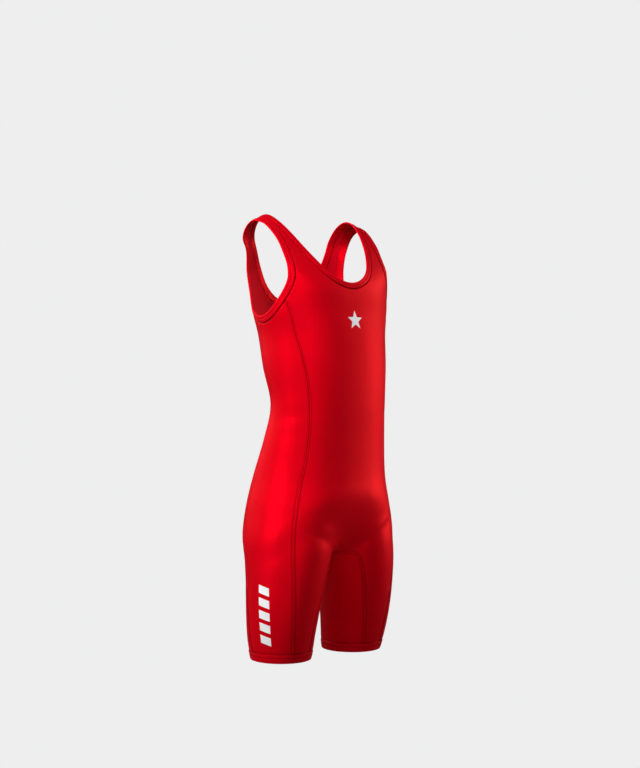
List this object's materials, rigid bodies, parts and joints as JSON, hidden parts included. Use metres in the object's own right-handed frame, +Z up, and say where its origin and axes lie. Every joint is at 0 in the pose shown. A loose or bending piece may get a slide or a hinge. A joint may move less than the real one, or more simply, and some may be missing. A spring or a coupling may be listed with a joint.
{
  "type": "wrestling singlet",
  "caption": "Sleeveless one-piece wrestling suit with short legs, hollow, in the shape that it takes when worn.",
  "frame": {"origin": "midway between the straps, at the height of the top of the shoulder line, where the wearer's shoulders hold the garment", "axes": "+Z up, the wearer's front towards -Y, the wearer's left side at +X"},
  "size_m": [0.2744, 0.1932, 0.725],
  "materials": {
    "satin_knit": "smooth satin stretch knit, red",
    "band_knit": "the same knit folded into narrow bands, red",
    "thread": "polyester seam thread, red",
    "print_film": "thin heat-pressed film, white, matte"
  },
  "bodies": {
    "root": {"front_panel": "satin_knit", "back_panel": "satin_knit", "side_panel_left": "satin_knit", "side_panel_right": "satin_knit", "crotch_gusset": "satin_knit", "neck_band": "band_knit", "arm_band_left": "band_knit", "arm_band_right": "band_knit", "leg_band_left": "band_knit", "leg_band_right": "band_knit"}
  },
  "joints": []
}
